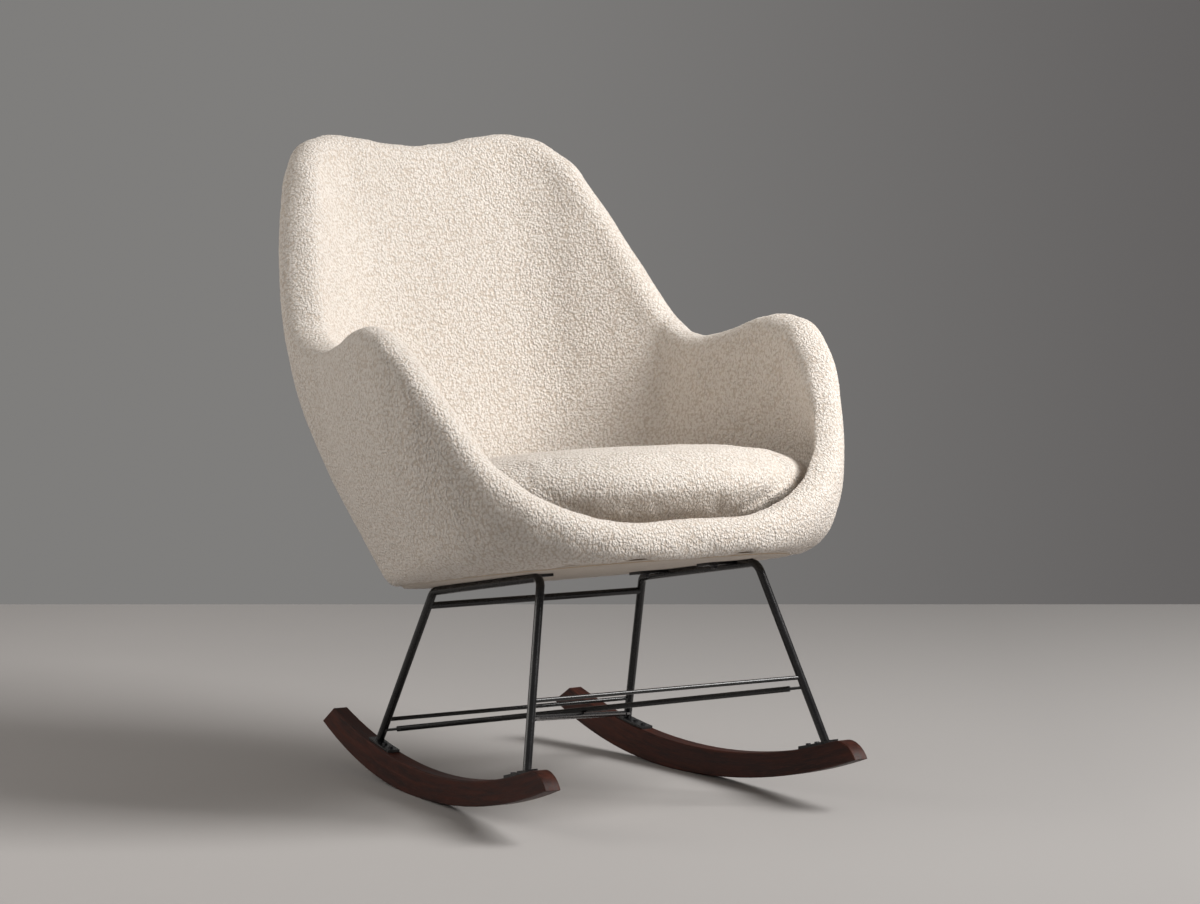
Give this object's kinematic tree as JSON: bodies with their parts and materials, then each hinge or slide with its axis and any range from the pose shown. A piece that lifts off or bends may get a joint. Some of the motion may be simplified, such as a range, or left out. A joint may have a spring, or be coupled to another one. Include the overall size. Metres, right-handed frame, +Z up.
{
  "type": "upholstered rocking chair",
  "caption": "Rocking chair with a padded bucket shell in cream looped fabric, a loose seat cushion, a black rod frame and dark wooden rockers.",
  "frame": {"origin": "centre of the chair's outline on the floor, below it", "axes": "+Z up, -Y the way the chair faces, +X the sitter's left"},
  "size_m": [0.7264, 0.8872, 0.9336],
  "materials": {
    "boucle": "matte",
    "lining": "matte",
    "plywood": "matte",
    "dark_wood": "satin",
    "black_metal": "satin",
    "zinc": "satin"
  },
  "bodies": {
    "chair": {"back_panel": "plywood", "brace_left_rear": "black_metal", "brace_right_rear": "black_metal", "deck_pad": "lining", "foot_plate_left_front": "black_metal", "foot_plate_left_rear": "black_metal", "foot_plate_right_front": "black_metal", "foot_plate_right_rear": "black_metal", "front_stretcher": "black_metal", "mount_bolts": "zinc", "mount_tab_left_front": "black_metal", "mount_tab_left_rear": "black_metal", "mount_tab_right_front": "black_metal", "mount_tab_right_rear": "black_metal", "rear_stretcher": "black_metal", "rocker_left": "dark_wood", "rocker_right": "dark_wood", "rocker_screws": "zinc", "seat_board": "plywood", "shell_upholstery": "boucle", "side_frame_left": "black_metal", "side_frame_right": "black_metal", "side_panel_left": "plywood", "side_panel_right": "plywood", "threaded_inserts": "zinc", "underside_cover": "lining", "upper_cross_bar": "black_metal"},
    "cushion": {"seat_cushion": "boucle"}
  },
  "joints": [
    {"name": "cushion_lift", "type": "slide", "parent": "chair", "child": "cushion", "axis": [0, 0.1668, 0.986], "range_m": [0, 0.35]}
  ]
}
